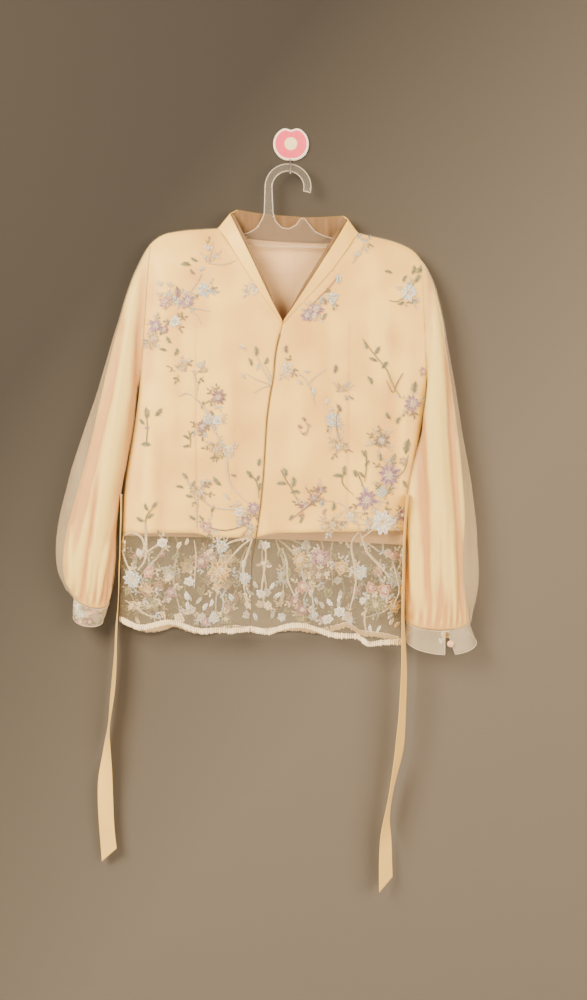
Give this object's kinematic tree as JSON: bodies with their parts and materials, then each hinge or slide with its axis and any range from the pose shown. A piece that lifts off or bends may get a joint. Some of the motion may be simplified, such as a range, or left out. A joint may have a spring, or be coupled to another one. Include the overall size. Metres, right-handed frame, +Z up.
{
  "type": "kebaya blouse on a hanger",
  "caption": "Long-sleeved kebaya blouse, embroidered net over a plain lining, V collar and waist ties, hung on a clear hanger from a wall hook.",
  "frame": {"origin": "middle of the wall hook pad's flat back face, on the wall's plane", "axes": "+Z up, +X to the right as seen from the front, +Y into the wall; the blouse's front faces -Y"},
  "size_m": [0.6365, 0.0515, 1.1494],
  "materials": {
    "lining": "cream polyester satin lining",
    "net": "fine embroidered net",
    "hem_cord": "corded scallop edge",
    "collar": "net over cream satin",
    "neck_facing": "taupe net facing",
    "cuff": "sheer organza",
    "tie": "cream satin tie",
    "button": "pearl button",
    "hanger": "clear moulded polystyrene",
    "wall_pad": "pink moulded plastic with a pale rim",
    "wall_wire": "bent steel wire"
  },
  "bodies": {
    "root": {"lining_front_left": "lining", "lining_front_right": "lining", "lining_back": "lining", "sleeve_lining_left": "lining", "sleeve_lining_right": "lining", "net_front_left": "net", "net_front_right": "net", "net_back": "net", "sleeve_net_left": "net", "sleeve_net_right": "net", "hem_cord_front_left": "hem_cord", "hem_cord_front_right": "hem_cord", "hem_cord_back": "hem_cord", "collar_front_left": "collar", "collar_back": "collar", "collar_front_right": "collar", "neck_facing_front_left": "neck_facing", "neck_facing_back": "neck_facing", "neck_facing_front_right": "neck_facing", "cuff_left": "cuff", "cuff_right": "cuff", "cuff_button_left": "button", "cuff_button_right": "button", "tie_left": "tie", "tie_right": "tie", "hanger": "hanger", "wall_pad": "wall_pad", "wall_wire": "wall_wire"}
  },
  "joints": []
}
